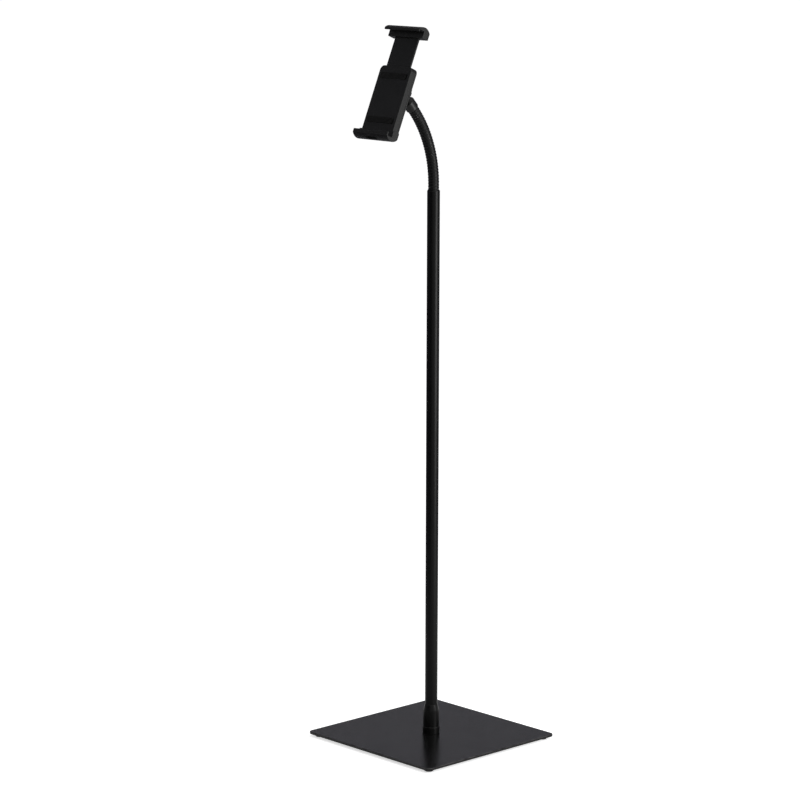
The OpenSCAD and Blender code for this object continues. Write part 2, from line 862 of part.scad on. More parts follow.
module upper_jaw() {
    color(moulded)
        at_cradle()
            difference() {
                across_cradle(jaw_w)
                    translate([lip_y, top_z]) mirror([0, 1]) jaw_outline(lip_top_h);
                translate([-slide_w / 2 - fit_clear, slide_y - fit_clear, top_z - jaw_back_h - over])
                    cube([
                        slide_w + 2 * fit_clear, slide_t + 2 * fit_clear,
                        jaw_back_h + over + slide_tuck + fit_clear
                    ]);
                at_slide_screws() small_screw_hole(slide_screw_len);
            }
}

module upper_jaw_pad() {
    w = jaw_w - 2 * jaw_pad_inset;
    color(rubber)
        at_cradle()
            translate([-w / 2, lip_y + lip_t + pad_gap, top_z])
                cube([w, grip_t - 2 * pad_gap, jaw_pad_t]);
}

module slide_plate() {
    color(moulded)
        at_cradle()
            difference() {
                translate([-slide_w / 2, slide_y, slide_z])
                    cube([slide_w, slide_t, slide_len + slide_tuck]);
                for (x = [-1, 1])
                    translate([x * spring_x - spring_slot_w / 2, slide_y - over, slide_z - over])
                        cube([spring_slot_w, slide_t + 2 * over, spring_slot_len + over]);
                at_slide_screws() small_screw_hole(slide_screw_len);
            }
}

module slide_screws() {
    color(zinc)
        at_cradle()
            at_slide_screws() small_screw(slide_screw_len);
}

// The springs are turned so that their upper ends meet the slide plate in front of them
module clamp_springs() {
    rings = concat(
        tail_rings(spring_from, spring_pitch, -1, spring_tail_r, spring_coil_r, spring_wire_d),
        helix_rings(spring_from, spring_to, spring_pitch),
        tail_rings(spring_to, spring_pitch, 1, spring_tail_r, spring_coil_r, spring_wire_d)
    );
    front_turn = -90 - rings[len(rings) - 1][1];
    turned = [for (ring = rings) ring + [0, front_turn, 0]];
    color(bright_steel)
        at_cradle()
            for (side = [-1, 1])
                wire(wire_points(spring_path(side), turned, spring_shape));
}

echo(least_gap_of_neck_wire = least_gap(
    wire_points(neck_path, helix_rings(coil_from, coil_to, wire_pitch), wire_shape)
));
echo(least_gap_of_clamp_spring = least_gap(
    wire_points(spring_path(1), helix_rings(spring_from, spring_to, spring_pitch), spring_shape)
));

base_plate();
base_feet();
foot_screws();
base_bolt();
pole_boss();
pole_sleeve();
pole_tube();
pole_foot_plug();
neck_root_plug();
for (k = [1 : bends + 1]) {
    neck_coil(k);
    neck_filler(k);
}
neck_tip_ferrule();
ball_stud();
socket_pad();
ball_socket();
socket_screws();
clamp_ring();
cradle_front();
cradle_cover();
cover_screws();
back_pads();
lower_jaw();
lower_jaw_pads();
lower_jaw_screws();
upper_jaw();
upper_jaw_pad();
slide_plate();
slide_screws();
clamp_springs();
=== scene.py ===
# %% [markdown]
# # A floor stand for a hand-held device, dressed in Blender
# The solid model is already made. It comes in as a fixed frame: every node stands
# where it belongs, in metres, and every body can move on its joint. This script gives the frame
# its looks. It adds rounded edges, fine windings and finishes, and for the rounded copies, pads
# and screws it says which body each moves with.

import json
from math import ceil, cos, degrees, pi, radians, sin, sqrt

import bmesh
import bpy
from mathutils import Matrix, Vector


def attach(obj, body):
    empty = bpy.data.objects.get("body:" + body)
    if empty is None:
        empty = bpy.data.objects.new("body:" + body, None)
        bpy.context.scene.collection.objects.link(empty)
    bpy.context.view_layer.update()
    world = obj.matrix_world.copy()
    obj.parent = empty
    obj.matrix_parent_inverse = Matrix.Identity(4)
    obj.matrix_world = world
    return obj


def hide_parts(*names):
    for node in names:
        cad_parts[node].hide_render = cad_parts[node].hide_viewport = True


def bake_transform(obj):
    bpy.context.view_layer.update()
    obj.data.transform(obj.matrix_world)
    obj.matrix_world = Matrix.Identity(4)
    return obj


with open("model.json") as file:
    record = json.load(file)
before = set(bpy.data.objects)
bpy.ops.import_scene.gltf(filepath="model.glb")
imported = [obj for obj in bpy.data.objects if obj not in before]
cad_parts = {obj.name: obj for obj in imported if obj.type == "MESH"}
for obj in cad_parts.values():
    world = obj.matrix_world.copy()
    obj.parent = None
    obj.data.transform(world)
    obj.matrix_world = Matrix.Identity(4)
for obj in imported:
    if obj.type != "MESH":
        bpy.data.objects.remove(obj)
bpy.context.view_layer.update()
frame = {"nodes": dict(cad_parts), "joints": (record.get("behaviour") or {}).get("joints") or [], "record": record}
scene = bpy.context.scene
record = frame["record"]
body_of = {n: body for body, nodes in record["behaviour"]["bodies"].items() for n in nodes}
slot_of = {part["node"]: part["material_slot"] for part in record["subparts"]}

# %% [markdown]
# ## The camera
# The stand was seen from the front right, from a little above the cradle, through a long lens
# that keeps its uprights nearly parallel. A camera could be aimed with a Track To constraint,
# but then its roll would be fixed. Here the three axes of the camera are worked out one by one,
# so that pan, tilt and roll can each be set.

# %% Camera
CAMERA_AT = Vector((3.588, -3.465, 1.5005))
CAMERA_SIDE = radians(46)
LENS, SENSOR = 135.4, 36
pan, tilt, roll = radians(-0.63), radians(10.35), radians(0.15)

ahead = Vector((sin(pan) * cos(tilt), cos(pan) * cos(tilt), -sin(tilt)))
level_right = Vector((cos(pan), -sin(pan), 0))
level_up = level_right.cross(ahead)
right = cos(roll) * level_right + sin(roll) * level_up
up = cos(roll) * level_up - sin(roll) * level_right
camera_axes = Matrix((right, up, -ahead)).transposed()

camera_data = bpy.data.cameras.new("camera")
camera_data.lens = LENS
camera_data.sensor_width = SENSOR
camera = bpy.data.objects.new("camera", camera_data)
camera.matrix_world = (
    Matrix.Translation(CAMERA_AT)
    @ Matrix.Rotation(CAMERA_SIDE, 4, "Z")
    @ camera_axes.to_4x4()
)
scene.collection.objects.link(camera)
bpy.context.scene.camera = camera
print("camera at", [round(c, 3) for c in CAMERA_AT])

# %% [markdown]
# ## The studio
# The stand is black on white, so the surroundings make the picture: a black coat shows mostly
# what it reflects. A picture of a studio could be wrapped round it, but plain colours need no
# file. The world is white to the camera and to reflections, and dimmer as a lamp. Masks made of
# the Light Path node tell these rays apart. The floor uses such masks too, and only adds light
# for rays that look at it, so the shadow of the base stays.

# %% World
scene.view_settings.view_transform = "Standard"
WHITE = (1, 1, 1, 1)
WORLD_LIGHT, WORLD_SEEN = 0.5, 1.0
REFLECTED = ("Is Glossy Ray", "Is Transmission Ray")


def add_math(tree, operation, first, second):
    """Math node whose inputs are sockets or plain numbers."""
    node = tree.nodes.new("ShaderNodeMath")
    node.operation = operation
    for place, value in enumerate((first, second)):
        if isinstance(value, (int, float)):
            node.inputs[place].default_value = value
        else:
            tree.links.new(value, node.inputs[place])
    return node.outputs[0]


def ray_mask(tree, *kinds):
    """1 for rays of the named kinds, 0 for all others."""
    path = tree.nodes.new("ShaderNodeLightPath")
    mask = path.outputs[kinds[0]]
    for kind in kinds[1:]:
        mask = add_math(tree, "MAXIMUM", mask, path.outputs[kind])
    return mask


def white_background(tree, strength):
    """Background shader; a strength of 1 is white."""
    node = tree.nodes.new("ShaderNodeBackground")
    node.inputs["Color"].default_value = WHITE
    node.inputs["Strength"].default_value = strength
    return node.outputs[0]


world = bpy.data.worlds.new("white_studio")
world.use_nodes = True
scene.world = world
tree = world.node_tree
tree.nodes.clear()
pick = tree.nodes.new("ShaderNodeMixShader")
tree.links.new(ray_mask(tree, "Is Camera Ray", *REFLECTED), pick.inputs[0])
tree.links.new(white_background(tree, WORLD_LIGHT), pick.inputs[1])
tree.links.new(white_background(tree, WORLD_SEEN), pick.inputs[2])
tree.links.new(pick.outputs[0], tree.nodes.new("ShaderNodeOutputWorld").inputs["Surface"])
print("world:", world.name)

# %% Floor
FLOOR_COLOUR = (0.82, 0.82, 0.82, 1)
SEEN_FILL, REFLECTED_FILL = 0.62, 0.15
FLOOR_HALF = 30
CORNERS = ((-1, -1), (1, -1), (1, 1), (-1, 1))

floor_paint = bpy.data.materials.new("white_floor")
floor_paint.use_nodes = True
tree = floor_paint.node_tree
tree.nodes.clear()
matt = tree.nodes.new("ShaderNodeBsdfDiffuse")
matt.inputs["Color"].default_value = FLOOR_COLOUR
fill = tree.nodes.new("ShaderNodeEmission")
fill.inputs["Color"].default_value = WHITE
seen = add_math(tree, "MULTIPLY", ray_mask(tree, "Is Camera Ray"), SEEN_FILL)
mirrored = add_math(tree, "MULTIPLY", ray_mask(tree, *REFLECTED), REFLECTED_FILL)
tree.links.new(add_math(tree, "ADD", seen, mirrored), fill.inputs["Strength"])
both = tree.nodes.new("ShaderNodeAddShader")
tree.links.new(matt.outputs[0], both.inputs[0])
tree.links.new(fill.outputs[0], both.inputs[1])
tree.links.new(both.outputs[0], tree.nodes.new("ShaderNodeOutputMaterial").inputs["Surface"])

floor_mesh = bpy.data.meshes.new("floor")
floor_mesh.from_pydata(
    [(x * FLOOR_HALF, y * FLOOR_HALF, 0) for x, y in CORNERS], [], [(0, 1, 2, 3)],
)
floor_mesh.materials.append(floor_paint)
floor = bpy.data.objects.new("floor", floor_mesh)
scene.collection.objects.link(floor)
print("floor of", 2 * FLOOR_HALF, "m")

# %% [markdown]
# ## The lamps
# A tall soft box on the right draws the long highlight down the pole. A point lamp would draw a
# thin line there, while the width of an area lamp sets the width of the highlight. Seen from
# above, a vertical cylinder mirrors what stands beside it a little lower, so the box stands near
# the floor, and the highlight fades where the mirrored ray falls short of it. A wide box
# overhead lights the upper faces, and a weak one on the left keeps that side from going flat.

# %% Lamps


def soft_box(name, at, aim, size, watts):
    """Area lamp that looks from one point at another; the camera doesn't see it."""
    data = bpy.data.lights.new(name, "AREA")
    data.shape = "RECTANGLE"
    data.size, data.size_y = size
    data.energy = watts
    lamp = bpy.data.objects.new(name, data)
    lamp.location = at
    lamp.rotation_euler = (Vector(aim) - Vector(at)).to_track_quat("-Z", "Y").to_euler()
    lamp.visible_camera = False
    scene.collection.objects.link(lamp)
    return lamp


lamps = [
    soft_box("right_box", at=(1.53, 0.47, 0.8), aim=(0, 0, 0.8), size=(0.75, 1.3), watts=25),
    soft_box("top_box", at=(0.4, 0.2, 3.2), aim=(0, 0, 0.4), size=(1.6, 1.6), watts=18),
    soft_box("left_box", at=(-1.6, -1.5, 1.6), aim=(0, 0, 0.9), size=(0.9, 1.2), watts=5),
]
print("lamps:", ", ".join(lamp.name for lamp in lamps))

# %% [markdown]
# ## The grey cards
# In an all-white room a black coat turns grey, because it mirrors white from every side. In a
# studio, dark cards are put up where those reflections go. Here two curved cards go round the
# stand: one behind it, which the plate mirrors, and a darker one on its left, which the pole
# mirrors. The world could be darker on that side, but then bare metal would lose its white.
# Only reflections see the cards: they cast no shadow, and the camera looks through them.

# %% Cards
CARD_R, CARD_H, CARD_STEP = 0.9, 4.5, radians(8)
CARD_START, CARD_SPLIT, CARD_END = radians(55), radians(160), radians(300)
BACK_TONE, LEFT_TONE = (0.285, 0.28, 0.31, 1), (0.16, 0.158, 0.18, 1)


def bent_card(name, card_tone, start, end):
    """Upright card on a circle round the stand, from one compass angle to another."""
    paint = bpy.data.materials.new(name)
    paint.use_nodes = True
    shader = paint.node_tree.nodes["Principled BSDF"]
    shader.inputs["Base Color"].default_value = card_tone
    shader.inputs["Specular IOR Level"].default_value = 0
    steps = ceil((end - start) / CARD_STEP)
    turns = [start + (end - start) * i / steps for i in range(steps + 1)]
    mesh = bpy.data.meshes.new(name)
    mesh.from_pydata(
        [(CARD_R * cos(a), CARD_R * sin(a), z) for a in turns for z in (0, CARD_H)],
        [], [(2 * i, 2 * i + 2, 2 * i + 3, 2 * i + 1) for i in range(steps)],
    )
    mesh.materials.append(paint)
    card = bpy.data.objects.new(name, mesh)
    card.visible_camera = False
    card.visible_diffuse = False
    card.visible_shadow = False
    scene.collection.objects.link(card)
    return card


cards = [
    bent_card("back_card", BACK_TONE, CARD_START, CARD_SPLIT),
    bent_card("left_card", LEFT_TONE, CARD_SPLIT, CARD_END),
]
print("cards:", ", ".join(card.name for card in cards))

# %% [markdown]
# ## Effects that several finishes share
# A shader node group is built once and placed in many materials, each with its own values. Here
# are four: a slow change of tone, the fine skin of a sprayed or moulded surface, dust that
# settles on faces turned upwards, and a paler tone on edges, which is partly the rub of hands and
# cartons and partly a painted highlight. All read object coordinates, which are metres in this
# frame, so a size of 0.001 is a millimetre on every piece.

# %% Tools for node groups
COLOUR, NUMBER = "NodeSocketColor", "NodeSocketFloat"


def shader_group(name, inputs, outputs):
    """New node group with its own input and output nodes."""
    tree = bpy.data.node_groups.new(name, "ShaderNodeTree")
    for label, kind, value in inputs:
        socket = tree.interface.new_socket(label, in_out="INPUT", socket_type=kind)
        socket.default_value = value
    for label, kind in outputs:
        tree.interface.new_socket(label, in_out="OUTPUT", socket_type=kind)
    return tree, tree.nodes.new("NodeGroupInput"), tree.nodes.new("NodeGroupOutput")


def add_noise(tree, size, detail):
    """Noise whose patches are about size metres across."""
    noise = tree.nodes.new("ShaderNodeTexNoise")
    noise.inputs["Detail"].default_value = detail
    place = tree.nodes.new("ShaderNodeTexCoord")
    tree.links.new(place.outputs["Object"], noise.inputs["Vector"])
    tree.links.new(add_math(tree, "DIVIDE", 1.0, size), noise.inputs["Scale"])
    return noise.outputs["Fac"]


def add_ramp(tree, value, low, high):
    """0 below low, 1 above high, smooth between."""
    ramp = tree.nodes.new("ShaderNodeMapRange")
    ramp.interpolation_type = "SMOOTHSTEP"
    ramp.inputs["From Min"].default_value = low
    ramp.inputs["From Max"].default_value = high
    tree.links.new(value, ramp.inputs["Value"])
    return ramp.outputs["Result"]


def add_mix(tree, factor, first, second):
    """Colour between two colour sockets."""
    mix = tree.nodes.new("ShaderNodeMix")
    mix.data_type = "RGBA"
    tree.links.new(factor, mix.inputs["Factor"])
    tree.links.new(first, mix.inputs["A"])
    tree.links.new(second, mix.inputs["B"])
    return mix.outputs["Result"]


print("sockets of groups:", COLOUR, "and", NUMBER)

# %% [markdown]
# ## Slow tone
# A coat is never one flat colour: it is a little thinner in one place than in another. Painted
# vertex colours could show that, but they need many points. Here a noise with wide patches mixes
# two close tones.

# %% Slow tone
GREY = (0.1, 0.1, 0.1, 1)
MIDDLE_RAMP = (0.3, 0.7)

tone, tone_in, tone_out = shader_group(
    "slow_tone",
    [("Dark", COLOUR, GREY), ("Light", COLOUR, GREY), ("Patch Size", NUMBER, 0.1)],
    [("Color", COLOUR), ("Mask", NUMBER)],
)
patches = add_ramp(tone, add_noise(tone, tone_in.outputs["Patch Size"], detail=4), *MIDDLE_RAMP)
toned = add_mix(tone, patches, tone_in.outputs["Dark"], tone_in.outputs["Light"])
tone.links.new(toned, tone_out.inputs["Color"])
tone.links.new(patches, tone_out.inputs["Mask"])
print("group:", tone.name)

# %% [markdown]
# ## Fine skin
# Sprayed coats and mouldings are never mirror smooth. Their grain could be a displaced mesh, but
# at a millimetre or less that takes millions of points, so it goes out as a height for the Bump
# node. A second, wider noise moves the roughness, so that a highlight isn't even.

# %% Fine skin
WIDE_GRAINS = 60.0

skin, skin_in, skin_out = shader_group(
    "fine_skin",
    [("Grain Size", NUMBER, 0.001), ("Rough Low", NUMBER, 0.4), ("Rough High", NUMBER, 0.5)],
    [("Height", NUMBER), ("Roughness", NUMBER)],
)
grain_size, rough_low = skin_in.outputs["Grain Size"], skin_in.outputs["Rough Low"]
grain = add_noise(skin, grain_size, detail=3)
wide = add_noise(skin, add_math(skin, "MULTIPLY", grain_size, WIDE_GRAINS), detail=3)
span = add_math(skin, "SUBTRACT", skin_in.outputs["Rough High"], rough_low)
rougher = add_math(skin, "MULTIPLY", span, add_ramp(skin, wide, *MIDDLE_RAMP))
skin.links.new(grain, skin_out.inputs["Height"])
skin.links.new(add_math(skin, "ADD", rough_low, rougher), skin_out.inputs["Roughness"])
print("group:", skin.name)

# %% [markdown]
# ## Settled dust
# Dust lies in specks, more of them in some places than in others, and only on faces that look
# up. Specks could be scattered as tiny pieces, but a mask is far lighter. It multiplies three
# others: wide patches, small specks and the height of the face's normal.

# %% Settled dust
DUST_PATCH, PATCH_RAMP = 0.03, (0.35, 0.8)
DUST_SPECK, SPECK_RAMP = 0.0012, (0.45, 0.75)
LOOKS_UP = (0.5, 0.95)


def normal_height(tree):
    """Height of the face's normal: 1 looks up, -1 looks down."""
    parts = tree.nodes.new("ShaderNodeSeparateXYZ")
    normal = tree.nodes.new("ShaderNodeNewGeometry").outputs["Normal"]
    tree.links.new(normal, parts.inputs[0])
    return parts.outputs["Z"]


dust, dust_in, dust_out = shader_group(
    "settled_dust",
    [("Color", COLOUR, GREY), ("Dust", COLOUR, GREY), ("Amount", NUMBER, 0.1)],
    [("Color", COLOUR), ("Mask", NUMBER)],
)
spots = add_math(
    dust, "MULTIPLY",
    add_ramp(dust, add_noise(dust, DUST_PATCH, detail=5), *PATCH_RAMP),
    add_ramp(dust, add_noise(dust, DUST_SPECK, detail=2), *SPECK_RAMP),
)
settled = add_math(dust, "MULTIPLY", spots, add_ramp(dust, normal_height(dust), *LOOKS_UP))
cover = add_math(dust, "MULTIPLY", settled, dust_in.outputs["Amount"])
dusted = add_mix(dust, cover, dust_in.outputs["Color"], dust_in.outputs["Dust"])
dust.links.new(dusted, dust_out.inputs["Color"])
dust.links.new(cover, dust_out.inputs["Mask"])
print("group:", dust.name)

# %% [markdown]
# ## Edge rub and painted highlight
# The paler edge is partly a rub of the coat and partly a painted highlight: the thin light line
# that a rounded edge catches is painted into its colour. The edges could be found with the
# Pointiness of the Geometry node, but on a plate with few points that spreads over its whole
# face. So the rounding of the edges, further down, marks its own faces, and this group reads
# that mark. Edges that face the floor are left out: nothing rubs there, and the painted
# highlight belongs on the upper edges.

# %% Edge rub and painted highlight
EDGE_MARK = "rounded_edge"
RUB_AND_HIGHLIGHT_PATCH, RUB_AND_HIGHLIGHT_RAMP = 0.012, (0.25, 0.6)
NOT_BELOW = (-0.1, 0.3)

# The pale tone on upper rounded edges is partly rub and partly a painted highlight.
rub_and_highlight, rub_and_highlight_in, rub_and_highlight_out = shader_group(
    "edge_rub_and_highlight",
    [("Color", COLOUR, GREY), ("Rubbed", COLOUR, GREY), ("Amount", NUMBER, 0.3)],
    [("Color", COLOUR), ("Mask", NUMBER)],
)
edge = rub_and_highlight.nodes.new("ShaderNodeAttribute")
edge.attribute_name = EDGE_MARK
above = add_ramp(rub_and_highlight, normal_height(rub_and_highlight), *NOT_BELOW)
upper = add_math(rub_and_highlight, "MULTIPLY", edge.outputs["Fac"], above)
uneven = add_ramp(rub_and_highlight, add_noise(rub_and_highlight, RUB_AND_HIGHLIGHT_PATCH, detail=4), *RUB_AND_HIGHLIGHT_RAMP)
worn_and_highlit = add_math(rub_and_highlight, "MULTIPLY", upper, uneven)
rub_and_highlight_mask = add_math(rub_and_highlight, "MULTIPLY", worn_and_highlit, rub_and_highlight_in.outputs["Amount"])
paler = add_mix(rub_and_highlight, rub_and_highlight_mask, rub_and_highlight_in.outputs["Color"], rub_and_highlight_in.outputs["Rubbed"])
rub_and_highlight.links.new(paler, rub_and_highlight_out.inputs["Color"])
rub_and_highlight.links.new(rub_and_highlight_mask, rub_and_highlight_out.inputs["Mask"])
print("group:", rub_and_highlight.name)

# %% [markdown]
# ## The finishes
# Four kinds of black and two of bare metal. One black for all would make the stand look like a
# single moulding. They differ less in colour than in how they scatter light: the sprayed steel
# is satin with a faint orange-peel skin, the moulded plastic has a spark-eroded grain, the
# rubber is dull, and the wound wire has a thinner, harder coat. Each material has one Principled
# shader. Values that are the same all over the surface are set on its sockets, and only what
# changes over the surface comes from a node group.

# %% How a finish is put together
DUST_COLOUR = (0.32, 0.31, 0.29, 1)


def finish(name, dark, light, patch, grain, rough, bump, dusty, rub_and_highlight_tone, rub_and_highlight_amount, **constant):
    """Material from the shared groups; constant holds Principled sockets that don't vary."""
    made = bpy.data.materials.new(name)
    made.use_nodes = True
    tree = made.node_tree
    shader = tree.nodes["Principled BSDF"]

    def place(group, **values):
        node = tree.nodes.new("ShaderNodeGroup")
        node.node_tree = group
        for label, value in values.items():
            node.inputs[label.replace("_", " ")].default_value = value
        return node

    colour = place(tone, Dark=(*dark, 1), Light=(*light, 1), Patch_Size=patch)
    # Paler upper edges: partly rub, partly a highlight painted on the rounded faces.
    edges = place(rub_and_highlight, Rubbed=(*rub_and_highlight_tone, 1), Amount=rub_and_highlight_amount)
    top = place(dust, Dust=DUST_COLOUR, Amount=dusty)
    surface = place(skin, Grain_Size=grain, Rough_Low=rough[0], Rough_High=rough[1])
    tree.links.new(colour.outputs["Color"], edges.inputs["Color"])
    tree.links.new(edges.outputs["Color"], top.inputs["Color"])
    tree.links.new(top.outputs["Color"], shader.inputs["Base Color"])
    tree.links.new(surface.outputs["Roughness"], shader.inputs["Roughness"])
    relief = tree.nodes.new("ShaderNodeBump")
    relief.inputs["Strength"].default_value = bump[0]
    relief.inputs["Distance"].default_value = bump[1]
    tree.links.new(surface.outputs["Height"], relief.inputs["Height"])
    tree.links.new(relief.outputs["Normal"], shader.inputs["Normal"])
    for label, value in constant.items():
        shader.inputs[label.replace("_", " ")].default_value = value
    return made


def grey(value, warmth=0.0):
    """Grey tone; warmth lifts its red and lowers its blue."""
    return (value * (1 + warmth), value, value * (1 - warmth))


print("a finish places:", ", ".join(group.name for group in (tone, rub_and_highlight, dust, skin)))

# %% Finishes
finishes = {
    # The plate's paler edge tone is partly rub and partly a painted highlight, the light line along its front
    # edges.
    "base_coat": finish(
        "satin_plate_coat", dark=grey(0.002), light=grey(0.003), patch=0.09,
        grain=0.0011, rough=(0.21, 0.25), bump=(0.08, 0.0002), dusty=0.004,
        rub_and_highlight_tone=grey(0.06), rub_and_highlight_amount=0.70, Specular_IOR_Level=0.24,
    ),
    "pole_coat": finish(
        "satin_pole_coat", dark=grey(0.0015), light=grey(0.0022), patch=0.07,
        grain=0.0009, rough=(0.32, 0.36), bump=(0.08, 0.0002), dusty=0.01,
        rub_and_highlight_tone=grey(0.03), rub_and_highlight_amount=0.50, Specular_IOR_Level=0.12,
    ),
    "neck_coat": finish(
        "wound_wire_coat", dark=grey(0.0012), light=grey(0.0018), patch=0.02,
        grain=0.0005, rough=(0.30, 0.38), bump=(0.12, 0.0001), dusty=0.01,
        rub_and_highlight_tone=grey(0.008), rub_and_highlight_amount=0.15, Specular_IOR_Level=0.20,
    ),
    "moulded_plastic": finish(
        "grained_moulding", dark=grey(0.004), light=grey(0.005), patch=0.03,
        grain=0.00045, rough=(0.42, 0.50), bump=(0.35, 0.00012), dusty=0.02,
        rub_and_highlight_tone=grey(0.02), rub_and_highlight_amount=0.30, Specular_IOR_Level=0.20,
    ),
    "rubber": finish(
        "dull_rubber", dark=grey(0.005), light=grey(0.007, 0.03), patch=0.012,
        grain=0.0006, rough=(0.72, 0.85), bump=(0.30, 0.0001), dusty=0.04,
        rub_and_highlight_tone=grey(0.015, 0.03), rub_and_highlight_amount=0.20, Specular_IOR_Level=0.13,
    ),
    "zinc_steel": finish(
        "zinc_plating", dark=(0.50, 0.51, 0.53), light=(0.62, 0.63, 0.66), patch=0.004,
        grain=0.0007, rough=(0.26, 0.40), bump=(0.10, 0.00008), dusty=0.05,
        rub_and_highlight_tone=(0.70, 0.70, 0.72), rub_and_highlight_amount=0.30, Metallic=1.0,
    ),
    "plain_steel": finish(
        "turned_steel", dark=(0.36, 0.36, 0.37), light=(0.50, 0.50, 0.51), patch=0.006,
        grain=0.0004, rough=(0.20, 0.32), bump=(0.10, 0.00008), dusty=0.02,
        rub_and_highlight_tone=(0.62, 0.62, 0.63), rub_and_highlight_amount=0.20, Metallic=1.0,
    ),
}
for node, piece in frame["nodes"].items():
    piece.data.materials.clear()
    piece.data.materials.append(finishes[slot_of[node]])
print("finishes:", ", ".join(m.name for m in finishes.values()))

# %% [markdown]
# ## Rounded edges
# No real edge is perfectly sharp, and the thin light line along an edge is what makes a black
# plate look like steel. Here that line is partly the rounding catching the lamps and partly a
# painted highlight, the paler edge tone that reads the mark the rounding leaves on its faces. A
# Bevel modifier on the solid would also fillet the inner corners and keep every triangle of the
# import. So each solid is copied, its flat faces are joined up again, and only its outward edges
# are rounded. The copy then replaces the node.
#
# Blender can limit a bevel so that it doesn't overlap itself, but the tightest place then sets
# the width for all. A screw hole would leave the whole shell sharp. So each run of edges that
# hang together is rounded by itself, and short runs, such as holes, get less.

# %% A piece that stands for a node
CREASE = radians(50)


def show(piece, node):
    """The piece stands for the node, with the same finish."""
    if not piece.data.materials:
        piece.data.materials.append(finishes[slot_of[node]])
    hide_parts(node)
    return piece


def smooth(mesh):
    """Smooth shading but for the creases."""
    mesh.shade_smooth()
    mesh.set_sharp_from_angle(angle=CREASE)


def link_mesh(name, bm):
    """Object from a bmesh, with its faces turned outwards."""
    bmesh.ops.recalc_face_normals(bm, faces=bm.faces)
    mesh = bpy.data.meshes.new(name)
    bm.to_mesh(mesh)
    bm.free()
    smooth(mesh)
    piece = bpy.data.objects.new(name, mesh)
    scene.collection.objects.link(piece)
    return piece


print("creases from", round(degrees(CREASE)), "degrees")

# %% Rounded copies
MERGE = 1e-6
FLAT = radians(0.4)
OUTER_EDGE = radians(24)
SHORT_RUN = 0.02
ROUND = 0.5


def groups(items, neighbours):
    """The items in groups that hang together, in a fixed order."""
    seen, found = set(), []
    for first in items:
        if first in seen:
            continue
        seen.add(first)
        group = [first]
        for item in group:
            for other in neighbours(item):
                if other not in seen:
                    seen.add(other)
                    group.append(other)
        found.append(group)
    return found


def rounded_copy(node, width, segments=3):
    """Bmesh of the node with its outward edges rounded."""
    bm = bmesh.new()
    bm.from_mesh(frame["nodes"][node].data)
    bmesh.ops.remove_doubles(bm, verts=bm.verts, dist=MERGE)
    bmesh.ops.dissolve_limit(bm, angle_limit=FLAT, verts=bm.verts, edges=bm.edges)
    # The mark tells the paler edge tone where to paint its rub and highlight.
    mark = bm.faces.layers.float.new(EDGE_MARK)
    outer = [e for e in bm.edges if e.is_manifold and e.calc_face_angle_signed() > OUTER_EDGE]
    wanted = set(outer)
    for run in groups(outer, lambda e: [o for v in e.verts for o in v.link_edges if o in wanted]):
        length = sum(e.calc_length() for e in run)
        made = bmesh.ops.bevel(
            bm, geom=run, offset=min(width, SHORT_RUN * length), segments=segments,
            profile=ROUND, affect="EDGES", clamp_overlap=True, loop_slide=True,
        )
        for face in made["faces"]:
            face[mark] = 1.0
    bmesh.ops.dissolve_degenerate(bm, edges=bm.edges, dist=MERGE)
    return bm


def finished(widths):
    """Rounded copies of nodes, each with its own width of rounding."""
    for node, width in widths.items():
        piece = link_mesh(node + "_finished", rounded_copy(node, width))
        even = piece.modifiers.new("even_normals", "WEIGHTED_NORMAL")
        even.keep_sharp = True
        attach(show(piece, node), body_of[node])
        print(piece.name, len(piece.data.vertices), "points")


print("edges over", round(degrees(OUTER_EDGE)), "degrees are rounded")

# %% [markdown]
# ## Base and pole
# A steel plate on rubber feet carries a boss, a sleeve and the pole, which a bolt pulls down
# from below. They could be drawn anew, but the solids already have the right shape, so rounded
# copies stand for them. The plate gets the widest rounding, because its edge shows most.

# %% Base and pole
finished({
    "base_plate": 0.001,
    "base_feet": 0.0008,
    "base_bolt": 0.0003,
    "pole_boss": 0.0004,
    "pole_sleeve": 0.0003,
    "pole_tube": 0.0003,
})

# %% [markdown]
# ## The gooseneck
# This is the part that takes most skill to make: a round steel wire is wound into a tube, and a
# three-sided wire is wound between its turns, so the neck stays where it is bent. It could be
# faked with a bump map on a cylinder, but then its outline would be smooth. It could be a curve
# with the Screw modifier, but that can't follow a bend. Here each wire is a tube of its own,
# made ring by ring along the bent middle line.
#
# The neck bends at five hinges. Each length of wire here reaches across one hinge, from the
# middle of one rigid length to the middle of the next, and follows the arc of the middle line,
# so the winding bends smoothly where the solid model has a corner.

# %% Middle line of the neck
NECK_START = 0.933
ARC_FROM, ARC_LEN, ARC_TURN = 0.022, 0.141, radians(42)
ARC_R = ARC_LEN / ARC_TURN
NECK_SUNK, NECK_FREE, TIP_SUNK = 0.012, 0.151, 0.008
NECK_LEN = ARC_FROM + ARC_LEN + TIP_SUNK


def neck_line(s):
    """Point on the neck's middle, its backward side and its direction, s metres along it."""
    turn = min(max(s - ARC_FROM, 0), ARC_LEN) / ARC_R
    past = max(s - ARC_FROM - ARC_LEN, 0)
    side = Vector((0, cos(turn), sin(turn)))
    along = Vector((0, -sin(turn), cos(turn)))
    height = NECK_START + min(s, ARC_FROM) + ARC_R * sin(turn)
    return Vector((0, ARC_R * (cos(turn) - 1), height)) + past * along, side, along


print("neck ends at", [round(c, 4) for c in neck_line(NECK_LEN)[0]])

# %% Rings of a wire
TAIL_LEANS = [radians(a) for a in range(15, 91, 15)]


def helix(start, end, pitch, per_turn):
    """Rings of a helix: distance along its middle, angle round it, lean towards it."""
    count = ceil((end - start) / pitch * per_turn)
    steps = [start + (end - start) * i / count for i in range(count + 1)]
    return [(s, 2 * pi * s / pitch, 0.0) for s in steps]


